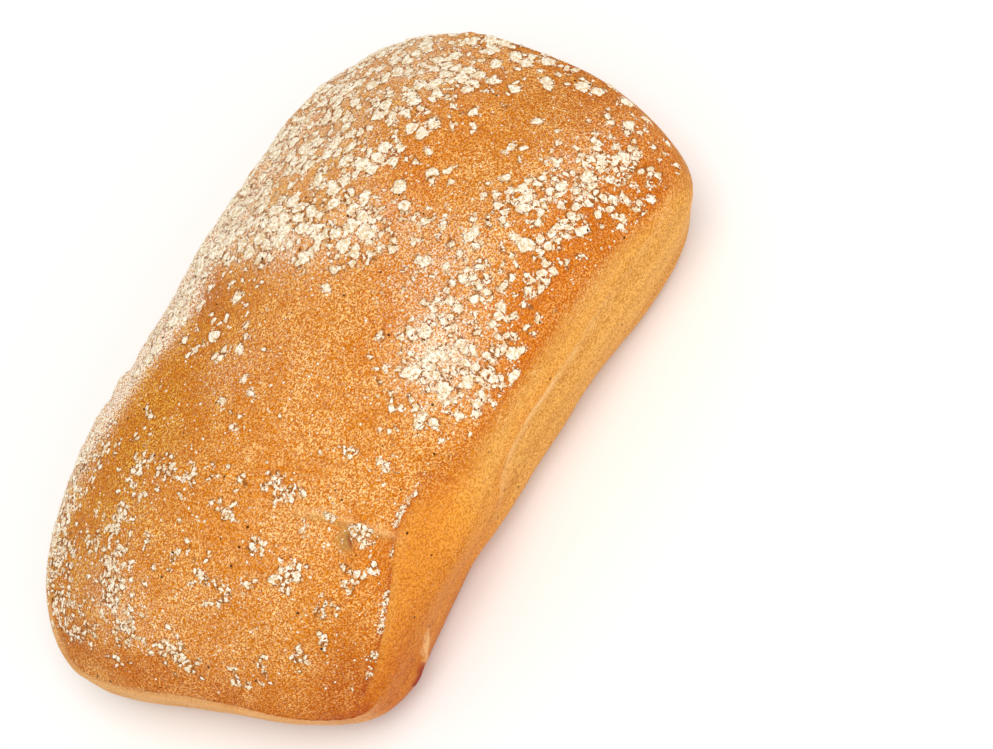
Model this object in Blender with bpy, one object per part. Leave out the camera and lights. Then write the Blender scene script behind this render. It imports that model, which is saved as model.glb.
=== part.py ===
"""Ciabatta roll: one solid loaf of bread, flour-dusted on top and flat underneath.

The roll lies along X with its near end at -X.  Its right long wall, which is pinched at a
waist, is on the -Y side.  Metres, +Z up, base on Z = 0, origin under the middle of its box.
"""

import math
import random

import bpy
import numpy as np
from mathutils import Vector
from mathutils.bvhtree import BVHTree

# ---- driving sizes of the crust, metres --------------------------------------------------
LENGTH = 0.1300            # along the middle of the shoulder line, end to end
WIDTH = 0.0764             # across the shoulder line
HEIGHT = 0.0458            # base to the top of the dome

NEAR_SLANT = -0.33         # how far each end runs askew, metres of X for a metre of Y
FAR_SLANT = -0.05
NEAR_BOW = 0.0028          # how far each end bulges past its corners
FAR_BOW = 0.0104
RIGHT_BOW = -0.0082        # how far each long side bulges; the right one is drawn in
LEFT_BOW = 0.0060
TAPER = 0.054              # the far end is this much wider than the middle
BEND = 0.0040              # how far both ends lie to the left of the middle
SWAY = 0.0020              # how far the far end lies left of that, and the near end right

CORNER_MEAN = 7.2          # squareness of the outline: 2 is an ellipse, more is squarer
CORNER_NEAR_RIGHT = 9.7
CORNER_NEAR_LEFT = 4.0
CORNER_FAR_RIGHT = 9.5
CORNER_FAR_LEFT = 8.1

# ---- the dome: how much lower the shoulder line is than the top --------------------------
RIGHT_DROP = 0.0074
LEFT_DROP = 0.0158
NEAR_DROP = 0.0222
FAR_DROP = 0.0162
RIGHT_CURVE = 2.6          # powers of the fall: higher stays flat longer
LEFT_CURVE = 2.2
END_CURVE = 4.0

# ---- the wall, from the shoulder line over the belly to the base -------------------------
BELLY_BASE = 0.0134        # the belly's height over the base, and the share of the
BELLY_SHARE = 0.29         # shoulder line's own height that is added to it
BELLY_LEAST = 0.0055       # but it lies at least about this far under that line
BELLY_EASE = 0.0012        # how gently that takes over
BELLY_OUT_SIDE = 0.0026    # the belly stands this far outside the shoulder line
BELLY_OUT_END = 0.0010
BASE_TUCK = 0.0064         # and the base is this far inside the belly
BASE_WAVE = 0.0011         # how far the base's edge wanders in and out
SHOULDER_ANGLE = math.radians(58)

# ---- the waist in the right wall ----------------------------------------------------------
WAIST_X = -0.0180
WAIST_SPREAD = 0.0124
WAIST_SHOULDER = 0.0050    # depth at the shoulder line
WAIST_BELLY = 0.0002       # depth at the belly

# ---- relief -------------------------------------------------------------------------------
UNEVEN_SEED = 11
UNEVEN_WAVES = 9
UNEVEN_DEPTH = 0.00055     # of all the waves together
UNEVEN_SHORTEST = 0.016    # the waves' lengths
UNEVEN_LONGEST = 0.045

# Soft lumps and, below zero, hollows: x, y, z, reach and height.
LUMPS = {
    "dimple": (-0.0290, -0.0260, 0.0418, 0.0026, -0.0014),
    "flap beside the dimple": (-0.0255, -0.0268, 0.0414, 0.0026, 0.0006),
    "crease at the waist": (-0.0095, -0.0335, 0.0380, 0.0036, -0.0012),
    "fold below the crease": (-0.0160, -0.0362, 0.0290, 0.0075, 0.0008),
    "swell under the waist": (-0.0090, -0.0390, 0.0110, 0.0095, 0.0010),
    "hollow under the near right edge": (-0.0560, -0.0300, 0.0090, 0.0170, -0.0016),
    "lip of the near right corner": (-0.0430, -0.0388, 0.0080, 0.0055, 0.0009),
    "torn edge above the lip": (-0.0380, -0.0390, 0.0125, 0.0040, 0.0006),
    "hollow of the left flank": (-0.0020, 0.0260, 0.0370, 0.0110, -0.0010),
    "swell of the left flank": (0.0200, 0.0240, 0.0380, 0.0140, 0.0008),
    "swell of the near top": (-0.0450, -0.0080, 0.0430, 0.0150, 0.0006),
    "dip before the far end": (0.0480, -0.0060, 0.0440, 0.0120, -0.0006),
}

# ---- the mesh of the crust -----------------------------------------------------------------
CELLS_LONG = 54
CELLS_WIDE = 28
WALL_RINGS = 8

# ---- flour, baked into thin flakes on the top ------------------------------------------------
FLAKE_SEED = 5
FLAKE_COUNT = 125
FLAKE_TRIES = 9000
FLAKE_FIELD = (0.073, 0.040) # flakes are tried this far from the middle, along X and Y
FLAKE_LARGEST = 0.0024     # radius
FLAKE_SMALLEST = 0.0014
FLAKE_SIDES = 6
FLAKE_RISE = 0.00045       # the flake's top stands this far off the crust
FLAKE_SINK = 0.00070
FLAKE_BEVEL = 0.78         # its top is this much smaller than its foot
FLAKE_CROWN = 0.00014      # and its middle stands this much higher than its rim
FLAKE_GAP = 0.0006
FLAKE_STEEPEST = 0.55      # none where the crust is steeper: the upward share of its normal

# Where flour lies: x, y, reach along X, reach along Y and how much of it.
FLOUR_PATCHES = [
    (0.018, 0.021, 0.009, 0.017, 1.00),
    (0.038, 0.022, 0.016, 0.015, 0.85),
    (0.060, 0.014, 0.012, 0.018, 0.85),
    (0.025, 0.004, 0.009, 0.007, 0.75),
    (0.008, -0.024, 0.009, 0.009, 1.00),
    (0.028, -0.018, 0.013, 0.012, 0.50),
    (0.055, -0.024, 0.013, 0.010, 0.90),
    (-0.060, 0.014, 0.010, 0.014, 0.35),
    (-0.008, 0.018, 0.008, 0.006, 0.30),
    (-0.063, -0.004, 0.004, 0.010, 0.35),
    (-0.040, -0.021, 0.012, 0.008, 0.20),
    (-0.044, 0.020, 0.012, 0.008, 0.25),
]

CRUST_COLOUR = (0.66, 0.34, 0.11, 1.0)
CRUST_ROUGHNESS = 0.62
CREASE_ANGLE = math.radians(50)


# ==== form ==================================================================================
def clipped(values):
    return np.clip(values, 0.0, 1.0)


def squareness(angle):
    """The outline's power at each corner, eased to the mean along the sides."""
    c = np.cos(angle)
    s = np.sin(angle)
    near, far = clipped(-c), clipped(c)
    right, left = clipped(-s), clipped(s)
    power = np.full_like(angle, CORNER_MEAN)
    power = power + 2 * near * right * (CORNER_NEAR_RIGHT - CORNER_MEAN)
    power = power + 2 * near * left * (CORNER_NEAR_LEFT - CORNER_MEAN)
    power = power + 2 * far * right * (CORNER_FAR_RIGHT - CORNER_MEAN)
    power = power + 2 * far * left * (CORNER_FAR_LEFT - CORNER_MEAN)
    return power


def rounded(s, t):
    """A point of the square -1..1 moved into the rounded outline, the rim onto the outline."""
    rim = np.maximum(np.maximum(np.abs(s), np.abs(t)), 1e-9)
    angle = np.arctan2(t, s)
    c = np.abs(np.cos(angle))
    n = np.abs(np.sin(angle))
    power = squareness(angle)
    radius = (c**power + n**power) ** (-1 / power)
    shrink = radius * np.maximum(c, n)
    scale = 1 + (shrink - 1) * rim**2
    return s * scale, t * scale


def plan(u, v, out_end, out_side):
    """Plan position of a point of the rounded outline, pushed out by the wall's bulge."""
    half_length = LENGTH / 2 + out_end
    half_width = WIDTH / 2 + out_side
    slant = NEAR_SLANT + (FAR_SLANT - NEAR_SLANT) * (1 + u) / 2
    end_bow = np.where(u > 0, FAR_BOW, NEAR_BOW) * (1 - v * v) * u * np.abs(u)
    side_bow = np.where(v < 0, RIGHT_BOW, LEFT_BOW) * (1 - u * u) * v * np.abs(v)
    x = half_length * u + slant * half_width * v + end_bow
    y = half_width * v * (1 + TAPER * u) + side_bow + BEND * u * u + SWAY * u**3
    return x, y


def waisted(x, y, v, depth):
    """Draws the right side in at the waist, fading to nothing at the middle of the roll."""
    pinch = np.exp(-(((x - WAIST_X) / WAIST_SPREAD) ** 2))
    return y + depth * pinch * clipped(-v) ** 3


def dome(u, v):
    """Height of the top, falling from the middle towards the shoulder line."""
    right = RIGHT_DROP * clipped(-v) ** RIGHT_CURVE
    left = LEFT_DROP * clipped(v) ** LEFT_CURVE
    side = np.where(v < 0, right, left)
    end = np.where(u < 0, NEAR_DROP, FAR_DROP) * np.abs(u) ** END_CURVE
    return HEIGHT - side - end


def top_point(s, t):
    u, v = rounded(s, t)
    x, y = plan(u, v, 0.0, 0.0)
    return x, waisted(x, y, v, WAIST_SHOULDER), dome(u, v)


def base_wave(angle):
    """How far the base's edge draws in at an angle round the roll."""
    slow = 0.5 * np.sin(5 * angle + 0.6)
    quick = 0.3 * np.sin(11 * angle + 2.0) + 0.2 * np.sin(19 * angle)
    return BASE_WAVE * (slow + quick)


def belly_height(shoulder):
    """The belly's height under a shoulder line of some height; lower where the roll is low."""
    usual = BELLY_BASE + BELLY_SHARE * shoulder
    highest = shoulder - BELLY_LEAST
    return highest - BELLY_EASE * np.log1p(np.exp((highest - usual) / BELLY_EASE))


def wall_point(s, t, level):
    """A point of the wall: level 0 is the shoulder line, 1 the belly and 2 the base's edge."""
    u, v = rounded(s, t)
    shoulder = dome(u, v)
    upper = np.minimum(level, 1.0)
    lower = np.maximum(level - 1.0, 0.0)
    turn = SHOULDER_ANGLE + (math.pi / 2 - SHOULDER_ANGLE) * upper
    start = math.sin(SHOULDER_ANGLE)
    bulge = (np.sin(turn) - start) / (1 - start)
    belly = belly_height(shoulder)
    z = belly + (shoulder - belly) * np.cos(turn) / math.cos(SHOULDER_ANGLE)
    z = np.where(lower > 0, belly * (1 - np.sin(lower * math.pi / 2)), z)
    tuck = BASE_TUCK * (1 - np.cos(lower * math.pi / 2)) + base_wave(np.arctan2(t, s)) * lower**2
    x, y = plan(u, v, BELLY_OUT_END * bulge - tuck, BELLY_OUT_SIDE * bulge - tuck)
    depth = WAIST_SHOULDER + (WAIST_BELLY - WAIST_SHOULDER) * upper
    return x, waisted(x, y, v, depth), z


# ==== relief ================================================================================
def unevenness(points):
    """Slow waves over the whole crust, the same on every run."""
    draw = random.Random(UNEVEN_SEED)
    height = np.zeros(len(points))
    for _ in range(UNEVEN_WAVES):
        direction = Vector((draw.gauss(0, 1), draw.gauss(0, 1), draw.gauss(0, 1))).normalized()
        length = draw.uniform(UNEVEN_SHORTEST, UNEVEN_LONGEST)
        phase = draw.uniform(0, 2 * math.pi)
        height += np.sin(points @ np.array(direction) * 2 * math.pi / length + phase)
    return height * UNEVEN_DEPTH / math.sqrt(UNEVEN_WAVES)


def lumps(points):
    """The named soft lumps and hollows."""
    height = np.zeros(len(points))
    for x, y, z, reach, rise in LUMPS.values():
        away = np.sum((points - np.array((x, y, z))) ** 2, axis=1)
        height += rise * np.exp(-away / reach**2)
    return height


# ==== mesh ==================================================================================
def grid_square():
    """The top's grid as points of the square -1..1."""
    i, j = np.meshgrid(np.arange(CELLS_LONG + 1), np.arange(CELLS_WIDE + 1), indexing="ij")
    return 2 * i.ravel() / CELLS_LONG - 1, 2 * j.ravel() / CELLS_WIDE - 1


def grid_index(i, j):
    return i * (CELLS_WIDE + 1) + j


def rim_cells():
    """The grid's rim, anticlockwise seen from above, starting at the near right corner."""
    right = [(i, 0) for i in range(CELLS_LONG)]
    far = [(CELLS_LONG, j) for j in range(CELLS_WIDE)]
    left = [(i, CELLS_WIDE) for i in range(CELLS_LONG, 0, -1)]
    near = [(0, j) for j in range(CELLS_WIDE, 0, -1)]
    return right + far + left + near


def centred(points):
    """The points moved so that the middle of their box is over the origin."""
    middle = (points.min(axis=0) + points.max(axis=0)) / 2
    return points - np.array((middle[0], middle[1], 0.0))


def smooth_crust_points():
    """All points of the crust before relief: the top's grid, then the wall's rings downwards."""
    s, t = grid_square()
    layers = [np.stack(top_point(s, t), axis=1)]
    rim = [grid_index(i, j) for i, j in rim_cells()]
    for ring in range(1, WALL_RINGS + 1):
        level = np.full(len(rim), 2 * ring / WALL_RINGS)
        layers.append(np.stack(wall_point(s[rim], t[rim], level), axis=1))
    return centred(np.concatenate(layers))


def crust_faces():
    faces = []
    for i in range(CELLS_LONG):
        for j in range(CELLS_WIDE):
            corners = [(i, j), (i + 1, j), (i + 1, j + 1), (i, j + 1)]
            faces.append([grid_index(*corner) for corner in corners])
    upper = [grid_index(i, j) for i, j in rim_cells()]
    first = (CELLS_LONG + 1) * (CELLS_WIDE + 1)
    for ring in range(WALL_RINGS):
        lower = [first + ring * len(upper) + k for k in range(len(upper))]
        for k in range(len(upper)):
            after = (k + 1) % len(upper)
            faces.append([upper[k], lower[k], lower[after], upper[after]])
        upper = lower
    faces.append(upper[::-1])
    return faces


def mesh_from(name, points, faces):
    mesh = bpy.data.meshes.new(name)
    mesh.from_pydata([tuple(point) for point in points], [], faces)
    mesh.update()
    return mesh


def crust_mesh():
    points = smooth_crust_points()
    faces = crust_faces()
    plain = mesh_from("plain", points, faces)
    normals = np.array([tuple(vertex.normal) for vertex in plain.vertices])
    bpy.data.meshes.remove(plain)
    on_base = points[:, 2] < 1e-6
    normals[on_base, 2] = 0.0
    relief = unevenness(points) + lumps(points)
    return mesh_from("crust", centred(points + normals * relief[:, None]), faces)


# ==== flour =================================================================================
def flour_amount(x, y):
    """How thick the flour lies, from 0 to 1."""
    total = 0.0
    for patch_x, patch_y, reach_x, reach_y, amount in FLOUR_PATCHES:
        away = ((x - patch_x) / reach_x) ** 2 + ((y - patch_y) / reach_y) ** 2
        total += amount * math.exp(-away)
    return min(total, 1.0)


def flake_places(draw, tree):
    """Spot, normal and radius of each flake, the largest first, thick where the flour is."""
    places = []
    for _ in range(FLAKE_TRIES):
        if len(places) == FLAKE_COUNT:
            break
        share = len(places) / FLAKE_COUNT
        radius = FLAKE_LARGEST + (FLAKE_SMALLEST - FLAKE_LARGEST) * share
        x = draw.uniform(-FLAKE_FIELD[0], FLAKE_FIELD[0])
        y = draw.uniform(-FLAKE_FIELD[1], FLAKE_FIELD[1])
        if draw.random() > flour_amount(x, y):
            continue
        spot, normal, _, _ = tree.ray_cast(Vector((x, y, 2 * HEIGHT)), Vector((0, 0, -1)))
        if spot is None or normal.z < FLAKE_STEEPEST:
            continue
        if any((spot - other).length < radius + size + FLAKE_GAP for other, _, size in places):
            continue
        places.append((spot, normal, radius))
    return places


def flake_mesh(draw, spot, normal, radius):
    """A low ragged flake: its foot inside the crust, a smaller top, and a raised middle."""
    across = normal.orthogonal().normalized()
    along = normal.cross(across)
    foot, top = [], []
    for side in range(FLAKE_SIDES):
        angle = 2 * math.pi * (side + draw.uniform(-0.25, 0.25)) / FLAKE_SIDES
        reach = radius * draw.uniform(0.75, 1.15)
        out = (across * math.cos(angle) + along * math.sin(angle)) * reach
        foot.append(spot + out - normal * FLAKE_SINK)
        top.append(spot + out * FLAKE_BEVEL + normal * FLAKE_RISE)
    middle = [spot + normal * (FLAKE_RISE + FLAKE_CROWN)]
    faces = [list(range(FLAKE_SIDES))[::-1]]
    for side in range(FLAKE_SIDES):
        after = (side + 1) % FLAKE_SIDES
        faces.append([side, after, FLAKE_SIDES + after, FLAKE_SIDES + side])
        faces.append([FLAKE_SIDES + side, FLAKE_SIDES + after, 2 * FLAKE_SIDES])
    return mesh_from("flake", foot + top + middle, faces)


def flour_collection(crust):
    draw = random.Random(FLAKE_SEED)
    tree = BVHTree.FromPolygons(
        [vertex.co for vertex in crust.data.vertices],
        [tuple(polygon.vertices) for polygon in crust.data.polygons],
    )
    collection = bpy.data.collections.new("flour")
    for spot, normal, radius in flake_places(draw, tree):
        mesh = flake_mesh(draw, spot, normal, radius)
        collection.objects.link(bpy.data.objects.new("flake", mesh))
    return collection


def fuse(crust, collection):
    """One union of the crust with every flake, applied, and the flakes removed."""
    bpy.context.scene.collection.children.link(collection)
    union = crust.modifiers.new("flour", "BOOLEAN")
    union.operation = "UNION"
    union.operand_type = "COLLECTION"
    union.collection = collection
    union.solver = "EXACT"
    depsgraph = bpy.context.evaluated_depsgraph_get()
    fused = bpy.data.meshes.new_from_object(crust.evaluated_get(depsgraph))
    crust.modifiers.remove(union)
    crust.data = fused
    for flake in list(collection.objects):
        bpy.data.objects.remove(flake)
    bpy.data.collections.remove(collection)


# ==== material and object ====================================================================
def crust_material():
    material = bpy.data.materials.new("crust")
    material.use_nodes = True
    shader = material.node_tree.nodes["Principled BSDF"]
    shader.inputs["Base Color"].default_value = CRUST_COLOUR
    shader.inputs["Roughness"].default_value = CRUST_ROUGHNESS
    return material


def main():
    for old in list(bpy.data.objects):
        bpy.data.objects.remove(old)
    roll = bpy.data.objects.new("ciabatta_roll", crust_mesh())
    bpy.context.scene.collection.objects.link(roll)
    fuse(roll, flour_collection(roll))
    roll.data.materials.clear()
    roll.data.materials.append(crust_material())
    roll.data.shade_smooth()
    roll.data.set_sharp_from_angle(angle=CREASE_ANGLE)


main()
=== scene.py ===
"""The looks of the ciabatta roll: its crust, its baked-on flour, the light and the camera.

The crust repeats the solid's own form from the same named sizes, on a finer grid, and adds the
small relief.  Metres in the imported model's frame, but for what is said to be in millimetres.
"""

import math
import random

import bpy
import numpy as np
from mathutils import Matrix, Vector


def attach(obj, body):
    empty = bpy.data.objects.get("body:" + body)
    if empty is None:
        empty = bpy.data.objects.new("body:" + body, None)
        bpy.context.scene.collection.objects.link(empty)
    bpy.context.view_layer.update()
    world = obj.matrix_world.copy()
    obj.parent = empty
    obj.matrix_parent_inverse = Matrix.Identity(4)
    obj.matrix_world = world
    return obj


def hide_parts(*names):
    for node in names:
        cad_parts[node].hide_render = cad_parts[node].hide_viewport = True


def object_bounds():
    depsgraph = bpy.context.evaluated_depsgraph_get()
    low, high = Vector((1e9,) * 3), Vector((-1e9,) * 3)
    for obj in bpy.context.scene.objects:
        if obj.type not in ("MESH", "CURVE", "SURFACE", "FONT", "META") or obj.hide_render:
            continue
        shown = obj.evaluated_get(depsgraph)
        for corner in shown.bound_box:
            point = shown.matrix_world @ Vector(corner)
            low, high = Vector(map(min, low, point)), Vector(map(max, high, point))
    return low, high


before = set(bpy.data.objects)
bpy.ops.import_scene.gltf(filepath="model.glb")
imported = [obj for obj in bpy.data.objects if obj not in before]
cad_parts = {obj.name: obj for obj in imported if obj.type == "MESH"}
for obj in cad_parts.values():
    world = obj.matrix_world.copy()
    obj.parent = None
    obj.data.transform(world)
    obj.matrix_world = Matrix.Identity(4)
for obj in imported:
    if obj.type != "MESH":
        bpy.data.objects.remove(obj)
cad_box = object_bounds()

MM = 0.001

# ==== sizes of the roll, the same as the solid's ====
LENGTH = 0.1300  # along the middle of the shoulder line, end to end
WIDTH = 0.0764  # across the shoulder line
HEIGHT = 0.0458  # base to the top of the dome
NEAR_SLANT = -0.33  # how far each end runs askew, metres of X for a metre of Y
FAR_SLANT = -0.05
NEAR_BOW = 0.0028  # how far each end bulges past its corners
FAR_BOW = 0.0104
RIGHT_BOW = -0.0082  # how far each long side bulges; the right one is drawn in
LEFT_BOW = 0.0060
TAPER = 0.054  # the far end is this much wider than the middle
BEND = 0.0040  # how far both ends lie to the left of the middle
SWAY = 0.0020  # how far the far end lies left of that, and the near end right
CORNER_MEAN = 7.2  # squareness of the outline: 2 is an ellipse, more is squarer
CORNER_NEAR_RIGHT = 9.7
CORNER_NEAR_LEFT = 4.0
CORNER_FAR_RIGHT = 9.5
CORNER_FAR_LEFT = 8.1
RIGHT_DROP = 0.0074  # how much lower the shoulder line is than the top
LEFT_DROP = 0.0158
NEAR_DROP = 0.0222
FAR_DROP = 0.0162
RIGHT_CURVE = 2.6  # powers of the fall: higher stays flat longer
LEFT_CURVE = 2.2
END_CURVE = 4.0
BELLY_BASE = 0.0134  # the belly's height over the base, and the share of the
BELLY_SHARE = 0.29  # shoulder line's own height that is added to it
BELLY_LEAST = 0.0055  # but it lies at least about this far under that line
BELLY_EASE = 0.0012  # how gently that takes over
BELLY_OUT_SIDE = 0.0026  # the belly stands this far outside the shoulder line
BELLY_OUT_END = 0.0010
BASE_TUCK = 0.0064  # and the base is this far inside the belly
BASE_WAVE = 0.0011  # how far the base's edge wanders in and out
SHOULDER_ANGLE = math.radians(58)
WAIST_X = -0.0180
WAIST_SPREAD = 0.0124
WAIST_SHOULDER = 0.0050  # the waist's depth at the shoulder line
WAIST_BELLY = 0.0002  # and at the belly

CENTRING = np.array((-0.33, -0.08, 0.0)) * MM  # what the relief moves the box's middle by

UNEVEN_SEED = 11
UNEVEN_WAVES = 9
UNEVEN_DEPTH = 0.00055
UNEVEN_SHORTEST = 0.016
UNEVEN_LONGEST = 0.045

# Soft lumps and, below zero, hollows, in millimetres: x, y, z, reach and height.
LUMPS = {
    "dimple": (-29, -26, 41.8, 2.6, -1.4),
    "flap beside the dimple": (-25.5, -26.8, 41.4, 2.6, 0.6),
    "crease at the waist": (-9.5, -33.5, 38, 3.6, -1.2),
    "fold below the crease": (-16, -36.2, 29, 7.5, 0.8),
    "swell under the waist": (-9, -39, 11, 9.5, 1),
    "hollow under the near right edge": (-56, -30, 9, 17, -1.6),
    "lip of the near right corner": (-43, -38.8, 8, 5.5, 0.9),
    "torn edge above the lip": (-38, -39, 12.5, 4, 0.6),
    "hollow of the left flank": (-2, 26, 37, 11, -1),
    "swell of the left flank": (20, 24, 38, 14, 0.8),
    "swell of the near top": (-45, -8, 43, 15, 0.6),
    "dip before the far end": (48, -6, 44, 12, -0.6),
}

# ==== grids ====
CRUST_LONG = 290  # cells of the crust's top
CRUST_WIDE = 158
CRUST_RINGS = 44  # rings of its wall
BASE_RINGS = 8  # rings of its underside, inwards
FLOUR_LONG = 560  # cells of the finer grid that the flour is cut from
FLOUR_WIDE = 306
FLOUR_RINGS = 92  # of which the flour uses the uppermost ones
FLOUR_RINGS_USED = 60

# ==== flour ====
# Where flour lies in clumps, in millimetres: x, y, reach along X, reach along Y, how much.
CLUMP_PATCHES = [
    (12, 30, 8, 10, 0.66), (18, 16, 7, 11, 0.72), (29, 26, 5, 5, 0.3), (23, 2, 8, 7, 0.6),
    (32, 22, 9, 14, 0.6), (46, 29, 10, 9, 0.5), (47, 10, 7, 8, 0.4), (61, 20, 9, 16, 0.52),
    (61, 3, 8, 8, 0.34), (64, 16, 5, 8, 0.25), (30, -8, 4, 4, 0.2), (72, -2, 4, 20, 0.48),
    (50, 9, 6, 6, 0.3), (50, -14, 5, 4, 0.2), (66, 8, 5, 5, 0.15), (66, 34, 10, 8, 0.45),
    (28, 38, 30, 6, 0.65), (8, -25, 7, 8, 0.92), (-2, -23, 4, 6, 0.35), (21, -22, 8, 9, 0.62),
    (35, -18, 7, 9, 0.34), (46, -26, 7, 7, 0.72), (57, -29, 8, 8, 0.78), (40, -17, 5, 4, 0.3),
    (24, -9, 5, 4, 0.22), (14, -33, 12, 3, 0.45), (-7, 19, 5, 5, 0.42), (-12, 9, 4, 4, 0.28),
    (-4, 35, 9, 4, 0.7), (32, -31, 8, 3, 0.45), (-38, 37, 14, 4, 0.35),
]
# Single clumps of the near half.
SPATTER_PATCHES = [
    (-33, 7, 2.4, 1.6, 1.0), (-34, 12.5, 2.4, 2.8, 1.0), (-30, 3, 1.8, 2.2, 0.7),
    (-29.1, -3.4, 1.4, 1.4, 1.5), (-35, -2.7, 1.4, 1.4, 1.5), (-41, 4, 2.0, 2.0, 0.4),
    (-37, 20, 2.8, 2.4, 0.8), (-38, 31, 5.0, 3.0, 0.7), (-45, 17, 3.2, 2.8, 0.95),
    (-52, 21, 3.0, 3.0, 0.6), (-58, 14, 2.8, 3.0, 0.95), (-62, 7, 3.6, 3.0, 0.85),
    (-63, -1, 2.6, 2.8, 0.8), (-62.5, -5.5, 2.4, 3.2, 1.2), (-53, 10, 3.0, 3.0, 0.55),
    (-52, 15, 3.0, 3.0, 0.6), (-67, 17, 3.2, 4.0, 0.85), (-64, 25, 4.0, 4.0, 0.85),
    (-57, 29, 4.0, 3.6, 0.75), (-69, 6, 2.4, 4.0, 0.55), (-60, -16.4, 1.6, 1.6, 1.1),
    (-56, -20, 1.8, 1.4, 0.8), (-51, -25.5, 2.2, 1.4, 1.0), (-46, -28.5, 1.8, 1.4, 0.8),
    (-39.6, -19.7, 2.3, 2.1, 1.2), (-48, -10, 1.8, 1.6, 1.2), (-41, -27, 2.4, 2.0, 0.95),
    (-34, -29.1, 1.8, 1.6, 1.3), (-30.4, -18.2, 1.2, 1.2, 1.2), (-26.4, -27.8, 1.4, 2.0, 1.6),
    (-26, -22, 1.6, 1.6, 0.55), (-26.2, -13.6, 1.5, 1.5, 1.4), (-47.3, -4.8, 1.6, 2.4, 1.1),
    (-43.2, -4.4, 1.3, 1.2, 1.1), (-38.2, -12.3, 1.4, 1.6, 1.4), (-48, 9, 2.6, 2.4, 0.35),
    (-20, 4, 2.2, 2.2, 0.35), (-15, -3, 2.2, 2.2, 0.25), (-28, 24, 5.0, 3.0, 0.25),
    (-60, 31, 4.0, 3.0, 0.7), (-52, 33, 5.0, 3.0, 0.65), (-44, 35, 5.0, 3.0, 0.55),
    (-26.4, -8.9, 1.5, 1.3, 1.4), (-28.5, -10.9, 1.3, 1.1, 1.1), (-30.8, -31.6, 1.4, 1.2, 1.1),
    (-15.1, -18.8, 1.2, 1.0, 1.3), (-13.1, -25.6, 1.0, 1.0, 1.3), (-8.8, -22.9, 1.6, 1.4, 1.0),
    (-46.8, 1.7, 1.5, 1.3, 1.1), (-43.6, -14.3, 1.2, 1.2, 0.9),
]
# Where it lies as specks and dust.
DUST_PATCHES = [
    (14, 22, 8, 16, 0.75), (24, 5, 9, 7, 0.4), (38, 20, 16, 16, 0.5), (62, 16, 12, 18, 0.5),
    (17, -11, 8, 6, 0.25), (8, -24, 10, 9, 0.8), (27, -17, 12, 12, 0.5), (55, -24, 14, 9, 0.45),
    (-5, 2, 12, 12, 0.22), (-12, 14, 9, 8, 0.35), (-28, 37.5, 30, 6.5, 1.35), (-6, 36, 9, 7, 0.8),
    (-60, 12, 9, 18, 0.45), (-45, -14, 18, 14, 0.22), (-40, 14, 14, 9, 0.28), (27, -3, 6, 5, 0.25),
    (30, 36, 40, 6, 0.6),
]
BIG_CELL = 3.0 * MM  # spacing of the large flakes, towards the far left
MIDDLE_CELL = 1.9 * MM
TINY_CELL = 1.3 * MM
CLUMP_THICKNESS = 0.26 * MM
CLUMP_EDGE = 0.3 * MM  # a clump reaches its full depth this far inside its edge
CLUMP_SINK = 0.12 * MM
CLUMP_SLOPE = 0.22 * MM
CLUMP_GRAIN = 0.045 * MM
CELL_WARP = 0.40 * MM  # how far the clumps' cells are bent
FIELD_OUTSIDE = -1.0 * MM
CRUST_INSET = 0.28 * MM  # room that the crust leaves for flour at the very edge of the box
SPECK_COUNT = 19000
SPECK_LARGEST = 0.40 * MM
SPECK_SMALLEST = 0.10 * MM
SPECK_SIDES = 5
SPECK_SHIFT = 0.15 * MM
SPECK_SINK = 0.05 * MM
SPECK_SEED = 7
# How far down flour reaches on the left, right, near and far side, where 0 is the shoulder line
# and 1 the belly, and how wide it fades out there.
FLOUR_LIMITS = (0.65, 0.0, -0.06, 0.30)
FLOUR_FADES = (0.85, 0.05, 0.05, 0.25)
CRUMB_GAP = 0.05 * MM  # crumbs keep this far from the flakes

# Layers of flakes and of crumbs: spacing, seed, patches, share of the patches' amount, what the
# far left adds to that share, and the share of the line along the near right shoulder.
FLAKE_LAYERS = (
    (BIG_CELL, 81, CLUMP_PATCHES, 0.15, 0.75, 0.0),
    (MIDDLE_CELL, 91, CLUMP_PATCHES, 0.85, -0.35, 0.0),
)
CRUMB_LAYERS = (
    (TINY_CELL, 101, CLUMP_PATCHES, 0.45, 0.0, 0.85),
    (TINY_CELL, 111, SPATTER_PATCHES, 1.1, 0.0, 0.0),
)


# ==== noise ====
def lattice_values(cells, seed, count):
    """Repeatable random numbers 0..1 for whole-number lattice cells."""
    table = np.random.RandomState(seed).rand(8192, count)
    mixed = (cells[..., 0] * 73856093) ^ (cells[..., 1] * 19349663) ^ (cells[..., 2] * 83492791)
    return table[(mixed ^ (mixed >> 13)) & 8191]


def noise(points, wavelength, seed):
    """Smooth noise between -1 and 1, with its wavelength in millimetres; each use has its seed."""
    scaled = points / (wavelength * MM)
    cell = np.floor(scaled).astype(np.int64)
    part = scaled - cell
    ease = part * part * (3 - 2 * part)
    total = np.zeros(len(points))
    for corner in np.ndindex(2, 2, 2):
        offset = np.array(corner)
        weight = np.prod(np.where(offset == 1, ease, 1 - ease), axis=1)
        total += weight * lattice_values(cell + offset, seed, 1)[..., 0]
    return 2 * total - 1


def rough_noise(points, wavelength, seed, octaves):
    total = np.zeros(len(points))
    for octave in range(octaves):
        total += noise(points, wavelength / 2**octave, seed + octave) / 2**octave
    return total


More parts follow.
